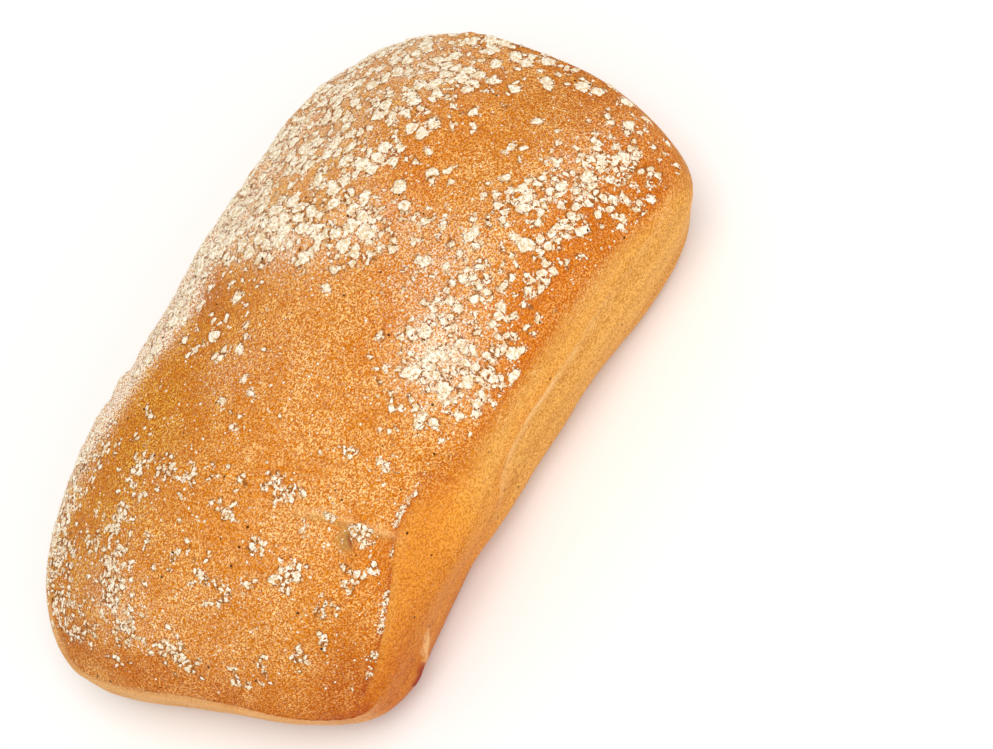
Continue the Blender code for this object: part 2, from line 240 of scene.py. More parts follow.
def cells_at(spread, spacing, seed):
    """Scattered centres over the unrolled crust: for each point the distances to the two nearest,
    the way to the nearest and that one's random number."""
    scaled = spread / spacing
    home = np.floor(scaled).astype(np.int64)
    nearest = np.full(len(spread), 9.0)
    second = np.full(len(spread), 9.0)
    way = np.zeros_like(spread)
    lot = np.zeros(len(spread))
    for offset in np.ndindex(3, 3):
        cell = home + np.array(offset) - 1
        flat = np.concatenate([cell, np.zeros((len(cell), 1), dtype=np.int64)], axis=1)
        draws = lattice_values(flat, seed, 3)
        step = cell + 0.08 + 0.84 * draws[:, :2] - scaled
        away = np.linalg.norm(step, axis=1)
        closer = away < nearest
        second = np.where(closer, nearest, np.minimum(second, away))
        nearest = np.where(closer, away, nearest)
        way[closer] = step[closer] * spacing
        lot[closer] = draws[closer, 2]
    return nearest * spacing, second * spacing, way, lot


def clipped(values):
    return np.clip(values, 0.0, 1.0)


def eased(values, low, high):
    """0 below low, 1 above high and smooth between."""
    share = clipped((values - low) / (high - low))
    return share * share * (3 - 2 * share)


def bell(distance, width):
    """1 where the distance is 0, falling away to 0 over about twice the width."""
    return np.exp(-((distance / width) ** 2))


def near_spot(points, middle, reach):
    """1 at a place given in millimetres, falling away over its reach."""
    return bell(np.linalg.norm(points / MM - np.array(middle), axis=1), reach)


def amount(points, patches):
    """How much of a list of soft patches lies over each point."""
    total = np.zeros(len(points))
    for x, y, reach_x, reach_y, strength in patches:
        total += strength * bell(points[:, 0] / MM - x, reach_x) * bell(points[:, 1] / MM - y, reach_y)
    return total


# ==== form ====
def squareness(angle):
    """The outline's power at each corner, eased to the mean along the sides."""
    near, far = clipped(-np.cos(angle)), clipped(np.cos(angle))
    right, left = clipped(-np.sin(angle)), clipped(np.sin(angle))
    corners = (
        (near * right, CORNER_NEAR_RIGHT), (near * left, CORNER_NEAR_LEFT),
        (far * right, CORNER_FAR_RIGHT), (far * left, CORNER_FAR_LEFT),
    )
    return CORNER_MEAN + sum(2 * share * (power - CORNER_MEAN) for share, power in corners)


def rounded(s, t):
    """A point of the square -1..1 moved into the rounded outline, the rim onto the outline."""
    rim = np.maximum(np.maximum(np.abs(s), np.abs(t)), 1e-9)
    angle = np.arctan2(t, s)
    c = np.abs(np.cos(angle))
    n = np.abs(np.sin(angle))
    power = squareness(angle)
    radius = (c**power + n**power) ** (-1 / power)
    shrink = radius * np.maximum(c, n)
    scale = 1 + (shrink - 1) * rim**2
    return s * scale, t * scale


def plan(u, v, out_end, out_side):
    """Plan position of a point of the rounded outline, pushed out by the wall's bulge."""
    half_length = LENGTH / 2 + out_end
    half_width = WIDTH / 2 + out_side
    slant = NEAR_SLANT + (FAR_SLANT - NEAR_SLANT) * (1 + u) / 2
    end_bow = np.where(u > 0, FAR_BOW, NEAR_BOW) * (1 - v * v) * u * np.abs(u)
    side_bow = np.where(v < 0, RIGHT_BOW, LEFT_BOW) * (1 - u * u) * v * np.abs(v)
    x = half_length * u + slant * half_width * v + end_bow
    y = half_width * v * (1 + TAPER * u) + side_bow + BEND * u * u + SWAY * u**3
    return x, y


def waisted(x, y, v, depth):
    """Draws the right side in at the waist, fading to nothing at the middle of the roll."""
    return y + depth * bell(x - WAIST_X, WAIST_SPREAD) * clipped(-v) ** 3


def dome(u, v):
    """Height of the top, falling from the middle towards the shoulder line."""
    right = RIGHT_DROP * clipped(-v) ** RIGHT_CURVE
    left = LEFT_DROP * clipped(v) ** LEFT_CURVE
    side = np.where(v < 0, right, left)
    end = np.where(u < 0, NEAR_DROP, FAR_DROP) * np.abs(u) ** END_CURVE
    return HEIGHT - side - end


def top_point(s, t):
    u, v = rounded(s, t)
    x, y = plan(u, v, 0.0, 0.0)
    return x, waisted(x, y, v, WAIST_SHOULDER), dome(u, v)


def base_wave(angle):
    """How far the base's edge draws in at an angle round the roll."""
    slow = 0.5 * np.sin(5 * angle + 0.6)
    quick = 0.3 * np.sin(11 * angle + 2.0) + 0.2 * np.sin(19 * angle)
    return BASE_WAVE * (slow + quick)


def belly_height(shoulder):
    """The belly's height under a shoulder line of some height; lower where the roll is low."""
    usual = BELLY_BASE + BELLY_SHARE * shoulder
    highest = shoulder - BELLY_LEAST
    return highest - BELLY_EASE * np.log1p(np.exp((highest - usual) / BELLY_EASE))


def wall_point(s, t, level):
    """A point of the wall: level 0 is the shoulder line, 1 the belly and 2 the base's edge."""
    u, v = rounded(s, t)
    shoulder = dome(u, v)
    upper = np.minimum(level, 1.0)
    lower = np.maximum(level - 1.0, 0.0)
    turn = SHOULDER_ANGLE + (math.pi / 2 - SHOULDER_ANGLE) * upper
    start = math.sin(SHOULDER_ANGLE)
    bulge = (np.sin(turn) - start) / (1 - start)
    belly = belly_height(shoulder)
    z = belly + (shoulder - belly) * np.cos(turn) / math.cos(SHOULDER_ANGLE)
    z = np.where(lower > 0, belly * (1 - np.sin(lower * math.pi / 2)), z)
    tuck = BASE_TUCK * (1 - np.cos(lower * math.pi / 2)) + base_wave(np.arctan2(t, s)) * lower**2
    x, y = plan(u, v, BELLY_OUT_END * bulge - tuck, BELLY_OUT_SIDE * bulge - tuck)
    depth = WAIST_SHOULDER + (WAIST_BELLY - WAIST_SHOULDER) * upper
    return x, waisted(x, y, v, depth), z


def unevenness(points):
    """Slow waves over the whole crust, as on the solid."""
    draw = random.Random(UNEVEN_SEED)
    height = np.zeros(len(points))
    for _ in range(UNEVEN_WAVES):
        direction = Vector((draw.gauss(0, 1), draw.gauss(0, 1), draw.gauss(0, 1))).normalized()
        length = draw.uniform(UNEVEN_SHORTEST, UNEVEN_LONGEST)
        phase = draw.uniform(0, 2 * math.pi)
        height += np.sin(points @ np.array(direction) * 2 * math.pi / length + phase)
    return height * UNEVEN_DEPTH / math.sqrt(UNEVEN_WAVES)


def lumps(points):
    height = np.zeros(len(points))
    for x, y, z, reach, rise in LUMPS.values():
        height += rise * near_spot(points, (x, y, z), reach)
    return height * MM


# ==== surfaces ====
def true_lengths(lines, k):
    """Lengths along lines of points, counted so that their middles keep coordinate k."""
    steps = np.linalg.norm(np.diff(lines, axis=0), axis=2)
    total = np.concatenate([np.zeros((1, lines.shape[1])), np.cumsum(steps, axis=0)])
    middle = len(lines) // 2
    return total + (lines[middle, :, k] - total[middle])


class Surface:
    """Points of the crust with, for each, its level: below 0 on top, 0..2 down the wall, 3 under."""

    def __init__(self, long, wide, rings, rings_used, base_rings):
        i, j = np.meshgrid(np.arange(long + 1), np.arange(wide + 1), indexing="ij")
        s = 2 * i.ravel() / long - 1
        t = 2 * j.ravel() / wide - 1
        self.top = i * (wide + 1) + j
        self.rings = self.rim_and_rings(rings_used + base_rings)
        rim = self.rings[0]
        layers = [np.stack(top_point(s, t), axis=1)]
        levels = [np.maximum(np.abs(s), np.abs(t)) - 1]
        for ring in range(1, rings_used + 1):
            level = np.full(len(rim), 2 * ring / rings)
            layers.append(np.stack(wall_point(s[rim], t[rim], level), axis=1))
            levels.append(level)
        edge = layers[-1]
        for ring in range(1, base_rings + 1):
            layers.append(edge * np.array((1, 1, 0)) * (1 - ring / (base_rings + 1)))
            levels.append(np.full(len(rim), 3.0))
        self.level = np.concatenate(levels)
        self.smooth = np.concatenate(layers) - self.middle_of_roll()
        self.quads = self.faces()
        self.normals = self.corner_normals(self.smooth)
        self.spread = self.unrolled()

    def rim_and_rings(self, count):
        """Indices of the top's rim, anticlockwise seen from above, and of each ring under it."""
        top = self.top
        rim = np.concatenate([top[:-1, 0], top[-1, :-1], top[:0:-1, -1], top[0, :0:-1]])
        return [rim] + [top.size + k * len(rim) + np.arange(len(rim)) for k in range(count)]

    def faces(self):
        top = self.top
        quads = [np.stack([top[:-1, :-1], top[1:, :-1], top[1:, 1:], top[:-1, 1:]], axis=-1)]
        for upper, lower in zip(self.rings, self.rings[1:]):
            quads.append(np.stack([upper, lower, np.roll(lower, -1), np.roll(upper, -1)], axis=1))
        return np.concatenate([part.reshape(-1, 4) for part in quads])

    def unrolled(self):
        """The crust laid out flat: true lengths along the top's grid and on down the wall."""
        grid = self.smooth[self.top]
        x, y = true_lengths(grid, 0), true_lengths(grid.transpose(1, 0, 2), 1).T
        flat = np.zeros((len(self.smooth), 2))
        flat[self.top] = np.stack([x, y], axis=-1)
        outward = self.normals[self.rings[0], :2]
        outward = outward / np.linalg.norm(outward, axis=1, keepdims=True)
        for above, here in zip(self.rings, self.rings[1:]):
            down = np.linalg.norm(self.smooth[here] - self.smooth[above], axis=1)
            flat[here] = flat[above] + outward * down[:, None]
        return flat

    @staticmethod
    def middle_of_roll():
        """The middle of the plain form's box in plan, which the solid has over its origin."""
        turn = np.linspace(0, 2 * math.pi, 721)
        reach = np.maximum(np.abs(np.cos(turn)), np.abs(np.sin(turn)))
        s, t = np.cos(turn) / reach, np.sin(turn) / reach
        rings = [wall_point(s, t, np.full(len(s), level)) for level in np.linspace(0, 2, 9)]
        x = np.concatenate([ring[0] for ring in rings])
        y = np.concatenate([ring[1] for ring in rings])
        return np.array(((x.min() + x.max()) / 2, (y.min() + y.max()) / 2, 0.0))

    def corner_normals(self, points):
        a, b, c, d = (points[self.quads[:, k]] for k in range(4))
        face = np.cross(c - a, d - b)
        total = np.zeros_like(points)
        for k in range(4):
            np.add.at(total, self.quads[:, k], face)
        return total / np.maximum(np.linalg.norm(total, axis=1, keepdims=True), 1e-12)


# Heights of the fine relief, in millimetres.
RELIEF = {
    "blisters": 0.045, "slow swells": 0.06, "ripples": 0.13, "wrinkle": 0.32, "its trough": 0.20,
    "crease": 0.40, "bands of the wall": 0.22, "threads of the wall": 0.05, "seam": 0.22,
    "corner flake": 0.5, "corner spot": 0.3, "corner groove": 0.35, "dimple": 1.0,
    "caked flour": 0.34, "near edge": 0.22, "near right edge": 0.22,
}
# Ripples across the near top, in millimetres: x, y, reach along X, reach along Y, spacing.
RIPPLES = (-26, -12, 14, 13, 2.0)
# The small pit in the near right of the top: x and y, mm.
DIMPLE = (-28.7, -26.6)
# The wrinkle above it, seen from above: y and x, mm.
FOLD = ((-31.6, -23.1), (-28.2, -24.8), (-20.5, -26.7), (-13.2, -29.9), (-5.0, -33.4))
# The waist's crease, from end to end, mm.
CREASE = ((-11.8, -31.0, 39.9), (-9.0, -35.2, 34.4))
# The seam of the right wall, pale with a painted highlight: x and height, mm.
SEAM = ((-8.0, 16.8), (-3.0, 22.8), (3.0, 26.4), (9.0, 28.2), (17.5, 28.4), (38.0, 27.8), (58.0, 29.0))
# The torn skin at the foot of the near right corner: each mark from end to end, mm.
CORNER_FLAKE = ((-33.6, -38.6, 17.2), (-38.6, -38.9, 11.4))
CORNER_GROOVE = ((-35.2, -38.8, 19.6), (-41.4, -38.9, 13.0))
CORNER_SPOT = ((-39.8, -38.9, 11.6), (-43.0, -38.6, 8.2))
CORNER_RIM = ((-43.0, -38.6, 8.2), (-49.5, -37.6, 4.6))
# The near end's edge: its level for y in mm.
NEAR_EDGE_Y = (-38, -30, -23, -17, -9, 0, 8, 16, 30)
NEAR_EDGE_LEVEL = (0.70, 0.50, 0.22, 0.03, -0.0135, -0.0135, -0.009, 0.0, 0.0)
NEAR_EDGE_END = -0.045  # the ridge along it ends at this x
TOP_LEAST = 0.030  # marks of the top lie above this height


def near_edge(points, level):
    """The level, counted from the near end's edge."""
    wander = 0.030 * noise(points, 6, 231) + 0.012 * noise(points, 1.8, 232)
    return level + wander - np.interp(points[:, 1] / MM, NEAR_EDGE_Y, NEAR_EDGE_LEVEL)


def along(points, ends):
    """Distance in millimetres to the line between two ends, and the share of the way along."""
    start, end = (np.array(point, dtype=float) for point in ends)
    way = end - start
    offset = points / MM - start
    share = clipped(offset @ way / (way @ way))
    return np.linalg.norm(offset - share[:, None] * way, axis=1), share


def corner_mark(points, ends, reach):
    """A ragged lens-shaped mark along a line, 1 inside and 0 outside."""
    away, share = along(points, ends)
    width = reach * (0.35 + 0.65 * np.sin(math.pi * clipped(0.1 + 0.8 * share)))
    away = away + 0.8 * noise(points, 2.4, 141) + 0.4 * noise(points, 1.0, 142)
    return 1 - eased(away / width, 0.45, 1.15)


def seam_distance(points):
    """Height above the wall's seam in millimetres, and how strong the seam is there."""
    x = points[:, 0] / MM
    knots = np.array(SEAM)
    seam_z = np.interp(x, knots[:, 0], knots[:, 1])
    near = eased(x, -12, 0) * (1 - 0.6 * eased(x, 14, 34)) * (1 - eased(x, 50, 66))
    near = near * (0.65 + 0.45 * noise(points, 7, 151))
    above = points[:, 2] / MM - seam_z + 0.5 * noise(points, 5, 152)
    return above, near * (points[:, 1] < -0.030)


def fold_distance(points):
    """Millimetres from the wrinkle above the dimple towards the far end, and its strength."""
    y = points[:, 1] / MM
    knots = np.array(FOLD)
    line = np.interp(y, knots[:, 0], knots[:, 1]) + 0.25 * noise(points, 3, 201)
    strength = eased(y, -34, -30) * (1 - eased(y, -22, -10)) * (points[:, 2] > TOP_LEAST)
    return points[:, 0] / MM - line, strength


def ripples(points):
    """The fine waves across the near top, -1..1."""
    x, y = points[:, 0] / MM, points[:, 1] / MM
    middle_x, middle_y, reach_x, reach_y, spacing = RIPPLES
    near = bell(x - middle_x, reach_x) * bell(y - middle_y, reach_y)
    phase = (0.92 * x + 0.38 * y) / spacing + 0.6 * noise(points, 8, 31)
    return near * np.sin(2 * math.pi * phase) * (0.7 + 0.6 * noise(points, 4, 32))


def dimple(points):
    """Depth share of the small pit in the near right of the top, and of its steep edge, which gets
    painted shade.

    It deepens from left to right and ends at the steep edge, under a pale flap."""
    x = points[:, 0] / MM - DIMPLE[0]
    y = points[:, 1] / MM - DIMPLE[1]
    across = 0.53 * x - 0.85 * y + 0.20 * noise(points, 1.4, 61)
    beside = 0.85 * x + 0.53 * y + 0.20 * noise(points, 1.4, 62)
    side = bell(beside, 1.8) * (points[:, 2] > TOP_LEAST)
    depth = bell(np.minimum(across, 0), 2.4) * (1 - eased(across, 0.0, 0.5)) * side
    steep = bell(across + 0.05, 0.42) * np.exp(-((beside / 1.2) ** 4)) * (side > 0)
    return depth, steep


def wrinkle_relief(points):
    """The wrinkle above the dimple, and the crease at the waist."""
    beyond, strength = fold_distance(points)
    crest = RELIEF["wrinkle"] * bell(beyond, 0.7) - RELIEF["its trough"] * bell(beyond + 1.2, 0.6)
    return crest * strength - RELIEF["crease"] * bell(along(points, CREASE)[0], 0.45)


def wall_relief(points, level):
    """Long soft swells along the wall, and the seam where the dough folded over."""
    on_wall = eased(level, 0.02, 0.30) * (1 - eased(level, 1.9, 2.0))
    stretched = points * np.array((0.10, 0.10, 1.0))
    height = RELIEF["bands of the wall"] * noise(stretched, 5.0, 41) * on_wall
    height += RELIEF["threads of the wall"] * noise(stretched, 1.6, 43) * on_wall
    above, strength = seam_distance(points)
    step = eased(above, -0.5, 0.4) * (1 - eased(above, 0.4, 5.0))
    return height + RELIEF["seam"] * step * strength


def corner_relief(points):
    """The torn skin at the foot of the near right corner."""
    height = RELIEF["corner flake"] * corner_mark(points, CORNER_FLAKE, 1.6)
    height += RELIEF["corner spot"] * corner_mark(points, CORNER_SPOT, 1.5)
    return height - RELIEF["corner groove"] * bell(along(points, CORNER_GROOVE)[0], 0.6)


def edge_relief(points, level):
    """The crisp edge of the near end and of the near right side."""
    near = bell(near_edge(points, level) + 0.010, 0.014) * (points[:, 0] < NEAR_EDGE_END)
    return RELIEF["near edge"] * near + RELIEF["near right edge"] * shoulder_line(points, level)


def fine_relief(points, level):
    """Height in metres of all that is too small for the solid."""
    height = RELIEF["blisters"] * rough_noise(points, 2.2, 21, 3)
    height += RELIEF["slow swells"] * noise(points, 7, 25)
    height += RELIEF["ripples"] * ripples(points) * (1 - eased(level, -0.02, 0.2))
    height += wrinkle_relief(points) + wall_relief(points, level) + corner_relief(points)
    depth, _ = dimple(points)
    height -= RELIEF["dimple"] * depth
    # caked flour makes the far left lumpy
    caked = eased(points[:, 0] * 0.3 + points[:, 1], 22 * MM, 32 * MM) * (1 - eased(level, 0.6, 1.2))
    height += RELIEF["caked flour"] * rough_noise(points, 3.8, 221, 2) * caked
    height += edge_relief(points, level)
    return height * MM * (1 - eased(level, 1.9, 2.0))


def inside_box(points, inset):
    """The points held inside the solid's own box, and further in by the inset but at the base."""
    low, high = (np.array(corner) for corner in cad_box)
    return np.clip(points, low + (inset, inset, 0.0), high - inset)


def dress(surface):
    """The surface's points with all relief on them."""
    height = unevenness(surface.smooth) + lumps(surface.smooth)
    height += fine_relief(surface.smooth, surface.level)
    normals = surface.normals.copy()
    normals[:, 2] *= eased(surface.smooth[:, 2], 0.0, 6 * MM)
    height[surface.level > 2.5] = 0.0
    return inside_box(surface.smooth + normals * height[:, None] + CENTRING, CRUST_INSET)


def new_mesh(name, points, faces):
    mesh = bpy.data.meshes.new(name)
    mesh.from_pydata(points.tolist(), [], [list(map(int, face)) for face in faces])
    mesh.update()
    mesh.shade_smooth()
    return mesh


def placed(name, data):
    """A new object, linked to the scene."""
    item = bpy.data.objects.new(name, data)
    bpy.context.scene.collection.objects.link(item)
    return item


def new_piece(name, mesh, material):
    piece = placed(name, mesh)
    mesh.materials.append(material)
    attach(piece, "root")
    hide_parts("ciabatta_roll")


def colour_layer(mesh, name, red, green, blue):
    """Stores three masks on the mesh's points for the material to read."""
    layer = mesh.color_attributes.new(name, "FLOAT_COLOR", "POINT")
    values = np.stack([red, green, blue, np.ones(len(red))], axis=1)
    layer.data.foreach_set("color", clipped(values).ravel())


# ==== flour field ====
def flour_fall(surface):
    """1 where flour may lie, falling to 0 below its reach: far down the left flank only."""
    normals, level = surface.normals, surface.level
    sides = clipped(np.stack([normals[:, 1], -normals[:, 1], -normals[:, 0], normals[:, 0]])) ** 2
    sides = sides / np.maximum(sides.sum(axis=0), 1e-6)
    limit = np.sum(sides * np.array(FLOUR_LIMITS)[:, None], axis=0)
    fade = np.sum(sides * np.array(FLOUR_FADES)[:, None], axis=0)
    past = (level - limit) / fade + 0.6 * rough_noise(surface.smooth, 9, 131, 3)
    return 1 - eased(past, -1.0, 1.0)


def shoulder_line(points, level):
    """1 on the near half of the right shoulder line, where the crust tightened to a thin ridge."""
    x = points[:, 0] / MM
    place = eased(x, -56, -50) * (1 - eased(x, -14, -9)) * (points[:, 1] < -0.02)
    return place * bell(level + 0.002, 0.016)


def on_shoulder(points, level):
    """The broken line of flour along the near half of the right shoulder."""
    x = points[:, 0] / MM
    place = eased(x, -54, -50) * (1 - eased(x, -14, -11)) * (points[:, 1] < -0.02)
    broken = eased(noise(points, 2.6, 121), -0.20, 0.25)
    return place * broken * bell(level + 0.015, 0.022)


def layered_field(surface, layers):
    """Distance inside the edge of the nearest clump of some layers; negative outside."""
    points, level = surface.smooth, surface.level
    warp = np.stack([noise(points, 1.2, seed) for seed in (71, 72)], axis=1)
    bent = surface.spread + warp * CELL_WARP
    ragged = 0.16 * noise(points, 0.9, 76) + 0.16 * noise(points, 0.5, 77)
    ragged = (ragged - 0.28 * eased(noise(points, 0.62, 78), 0.35, 0.70)) * MM
    far_left = eased(points[:, 0] * 0.6 + points[:, 1], 2 * MM, 24 * MM)
    fall = flour_fall(surface)
    line = on_shoulder(points, level)
    field = np.full(len(points), FIELD_OUTSIDE)
    for spacing, seed, patches, share, left_share, line_share in layers:
        nearest, second, way, lot = cells_at(bent, spacing, seed)
        density = amount(points[:, :2] + way, patches)
        density = density * (share + left_share * far_left) * fall + line * line_share
        crack = 0.07 * MM + 0.04 * spacing
        inside = np.minimum((second - nearest) * 0.5 - crack, spacing * 0.52 - nearest)
        inside = np.where(lot < density, inside + ragged, FIELD_OUTSIDE)
        field = np.maximum(field, inside)
    return field


def flour_fields(surface):
    """The flakes' field and that of the crumbs between them."""
    flakes = layered_field(surface, FLAKE_LAYERS)
    crumbs = layered_field(surface, CRUMB_LAYERS)
    return flakes, np.minimum(crumbs, -flakes - CRUMB_GAP)


def halves(quads):
    """Each quad as two triangles, cut one way and the other in turn."""
    flip = (np.arange(len(quads)) % 2 == 0)[:, None]
    first = np.where(flip, quads[:, [0, 1, 2]], quads[:, [0, 1, 3]])
    other = np.where(flip, quads[:, [0, 2, 3]], quads[:, [1, 2, 3]])
    return np.concatenate([first, other])


def cut_out(points, quads, field):
    """The part of a surface where field > 0, as triangles whose edge runs along field = 0.

    Returns the kept points' indices, the edge's points as (a, b, share) and the faces, in which
    edge points are numbered on from the kept ones."""
    triangles = halves(quads)
    inside = field[triangles] > 0
    count = inside.sum(axis=1)
    kept = np.unique(triangles[inside])
    number = np.full(len(points), -1)
    number[kept] = np.arange(len(kept))
    faces = number[triangles[count == 3]].tolist()
    edges = {}
    shares = []

    def edge_point(p, q):
        key = (p, q) if p < q else (q, p)
        if key not in edges:
            edges[key] = len(kept) + len(shares)
            low, high = key
            shares.append((low, high, field[low] / (field[low] - field[high])))
        return edges[key]

    crossed = (count == 1) | (count == 2)
    for triangle, flags in zip(triangles[crossed], inside[crossed]):
        ring = []
        for k in range(3):
            p, q = int(triangle[k]), int(triangle[(k + 1) % 3])
            if flags[k]:
                ring.append(int(number[p]))
            if flags[k] != flags[(k + 1) % 3]:
                ring.append(edge_point(p, q))
        faces.append(ring)
    return kept, shares, faces


def clump_mesh(name, surface, points, normals, field):
    """Flour clumps: closed lens-like flakes that follow the crust and sink a little in it."""
    kept, shares, faces = cut_out(points, surface.quads, field)
    depth = field[kept]
    rise = CLUMP_THICKNESS * (1 - np.exp(-depth / CLUMP_SLOPE))
    rise = rise * (0.85 + 0.35 * noise(points[kept], 2.2, 95))
    rise += CLUMP_GRAIN * rough_noise(points[kept], 0.9, 97, 2) * eased(depth, 0, CLUMP_EDGE)
    upper = points[kept] + normals[kept] * rise[:, None]
    sink = 0.06 * MM + CLUMP_SINK * eased(depth, 0, CLUMP_EDGE)
    lower = points[kept] - normals[kept] * sink[:, None]
    low, high, share = (np.array(column) for column in zip(*shares))
    share = share[:, None]
    edge = points[low] * (1 - share) + points[high] * share
    edge = edge - normals[low] * 0.03 * MM
    all_points = inside_box(np.concatenate([upper, edge, lower]), 0.0)
    shift = len(upper) + len(edge)
    under = [[k + shift if k < len(kept) else k for k in face][::-1] for face in faces]
    return new_mesh(name, all_points, faces + under)


def speck_share(surface, field):
    """How likely a speck is at each point: in the dust, beside the clumps, on the shoulder line."""
    fall = flour_fall(surface)
    fringe = eased(field, -0.9 * MM, -0.1 * MM)
    weight = amount(surface.smooth, DUST_PATCHES) * (0.3 + fringe) + 1.3 * fringe + 0.04
    clustered = np.exp(1.6 * rough_noise(surface.smooth, 2.4, 161, 3))
    weight = weight * clustered * fall * (field < -0.04 * MM)
    weight += 1.6 * on_shoulder(surface.smooth, surface.level)
    return weight / weight.sum()


def speck_mesh(name, points, normals, share):
    """Single grains of flour between the clumps: low domes with uneven outlines."""
    draw = np.random.RandomState(SPECK_SEED)
    chosen = draw.choice(len(points), SPECK_COUNT, p=share)
    normal = normals[chosen]
    helper = np.where(np.abs(normal[:, 2:]) < 0.9, (0.0, 0.0, 1.0), (1.0, 0.0, 0.0))
    across = np.cross(normal, helper)
    across = across / np.linalg.norm(across, axis=1, keepdims=True)
    beside = np.cross(normal, across)
    radius = SPECK_SMALLEST + (SPECK_LARGEST - SPECK_SMALLEST) * draw.rand(SPECK_COUNT) ** 2.2
    shift = draw.uniform(-SPECK_SHIFT, SPECK_SHIFT, (2, SPECK_COUNT, 1))
    spot = points[chosen] + across * shift[0] + beside * shift[1]
    turn = np.arange(SPECK_SIDES) * 2 * math.pi / SPECK_SIDES + draw.rand(SPECK_COUNT, 1)
    reach = radius[:, None] * draw.uniform(0.45, 1.45, (SPECK_COUNT, SPECK_SIDES))
    ring = spot[:, None] + across[:, None] * (np.cos(turn) * reach)[..., None]
    ring = ring + beside[:, None] * (np.sin(turn) * reach)[..., None]
    ring = ring - normal[:, None] * SPECK_SINK
    top = spot + normal * (radius * draw.uniform(0.35, 0.60, SPECK_COUNT))[:, None]
    bottom = spot - normal * (SPECK_SINK + 0.4 * radius)[:, None]
    spots = np.concatenate([ring, top[:, None], bottom[:, None]], axis=1)
    side = np.arange(SPECK_SIDES)
    after = (side + 1) % SPECK_SIDES
    upper = np.stack([side, after, 0 * side + SPECK_SIDES], axis=1)
    lower = np.stack([after, side, 0 * side + SPECK_SIDES + 1], axis=1)
    corners = np.concatenate([upper, lower])
    start = np.arange(SPECK_COUNT) * (SPECK_SIDES + 2)
    faces = (corners + start[:, None, None]).reshape(-1, 3)
    return new_mesh(name, inside_box(spots.reshape(-1, 3), 0.0), faces.tolist())


# ==== materials ====
class Nodes:
    """Short names for building a material's nodes; the sizes of patterns are in millimetres."""

    def __init__(self, name):
        self.material = bpy.data.materials.new(name)
        self.material.use_nodes = True
        self.tree = self.material.node_tree
        self.shader = self.tree.nodes["Principled BSDF"]
        self.place = self.new("ShaderNodeTexCoord", {}).outputs["Object"]

    def new(self, kind, inputs, **settings):
        """A node with these settings and inputs; an input that is a socket is linked."""
        node = self.tree.nodes.new(kind)
        for key, value in settings.items():
            setattr(node, key, value)
        self.feed(node, inputs)
        return node

    def feed(self, node, inputs):
        for key, value in inputs.items():
            if isinstance(value, bpy.types.NodeSocket):
                self.tree.links.new(value, node.inputs[key])
            else:
                node.inputs[key].default_value = value

    def finished(self, **inputs):
        """The material, with the shader's inputs fed; _ stands for a blank in their names."""
        self.feed(self.shader, {key.replace("_", " "): value for key, value in inputs.items()})
        return self.material

    def noise(self, size, detail, roughness=0.5, distortion=0.0, place=None):
        inputs = {"Vector": place or self.place, "Scale": 1 / (size * MM), "Detail": detail,
                  "Roughness": roughness, "Distortion": distortion}
        return self.new("ShaderNodeTexNoise", inputs).outputs["Fac"]

    def cells(self, size, output="Distance"):
        inputs = {"Vector": self.place, "Scale": 1 / (size * MM)}
        return self.new("ShaderNodeTexVoronoi", inputs).outputs[output]

    def stretch(self, scale):
        inputs = {"Vector": self.place, "Scale": scale}
        return self.new("ShaderNodeMapping", inputs).outputs["Vector"]

    def math(self, operation, first, second=0.0):
        return self.new("ShaderNodeMath", {0: first, 1: second}, operation=operation).outputs[0]

    def times(self, first, second):
        return self.math("MULTIPLY", first, second)

    def between(self, value, low, high, out_low=0.0, out_high=1.0):
        inputs = dict(enumerate((value, low, high, out_low, out_high)))
        return self.new("ShaderNodeMapRange", inputs, interpolation_type="SMOOTHSTEP").outputs["Result"]

    def mix(self, share, first, second, blend="MIX"):
        inputs = {0: share, 6: first, 7: second}
        return self.new("ShaderNodeMix", inputs, data_type="RGBA", blend_type=blend).outputs[2]

    def masks(self, name):
        layer = self.new("ShaderNodeAttribute", {}, attribute_name=name)
        split = self.new("ShaderNodeSeparateColor", {0: layer.outputs["Color"]})
        return split.outputs[0], split.outputs[1], split.outputs[2]

    def bump(self, height, distance, strength):
        inputs = {"Strength": strength, "Distance": distance, "Height": height}
        return self.new("ShaderNodeBump", inputs).outputs["Normal"]


def rgb(red, green, blue):
    """A colour given as it looks on screen, 0..255, turned into linear light."""
    def linear(value):
        value = value / 255
        return value / 12.92 if value <= 0.04045 else ((value + 0.055) / 1.055) ** 2.4
    return (linear(red), linear(green), linear(blue), 1.0)


ORANGE = rgb(216, 129, 2)
EMBER = rgb(178, 89, 0)
PEACH = rgb(255, 207, 134)
GOLD = rgb(188, 112, 0)
GOLD_PALE = rgb(250, 188, 94)
# pale skin, and the painted highlights of the seam, the wrinkle's crest and the ripples' crests
SEAM_PALE = rgb(247, 196, 132)
OLIVE_TINT = rgb(240, 232, 150)  # tints are multiplied into the crust's colour
BROWN_TINT = rgb(224, 190, 150)
# a deeper orange; above the wall's seam it is painted shade
HOT_AND_SHADE_TINT = rgb(250, 222, 160)
# painted shade of the dimple and of the trough beside the wrinkle
PIT = rgb(186, 148, 84)
# dark red: scorched crust, and painted shade in the crease and along the dimple's steep edge
BURNT_AND_SHADE = rgb(146, 38, 12)
# painted shade inside the small holes
BLACK = rgb(52, 26, 14)
# painted shade beside the flour clumps; in the flour's pits it is part painted shade, part crust
# showing through
SHADE = rgb(140, 80, 26)
FLOUR = rgb(255, 247, 228)
# painted shade in the flour's hollows
FLOUR_SHADE = rgb(222, 194, 150)
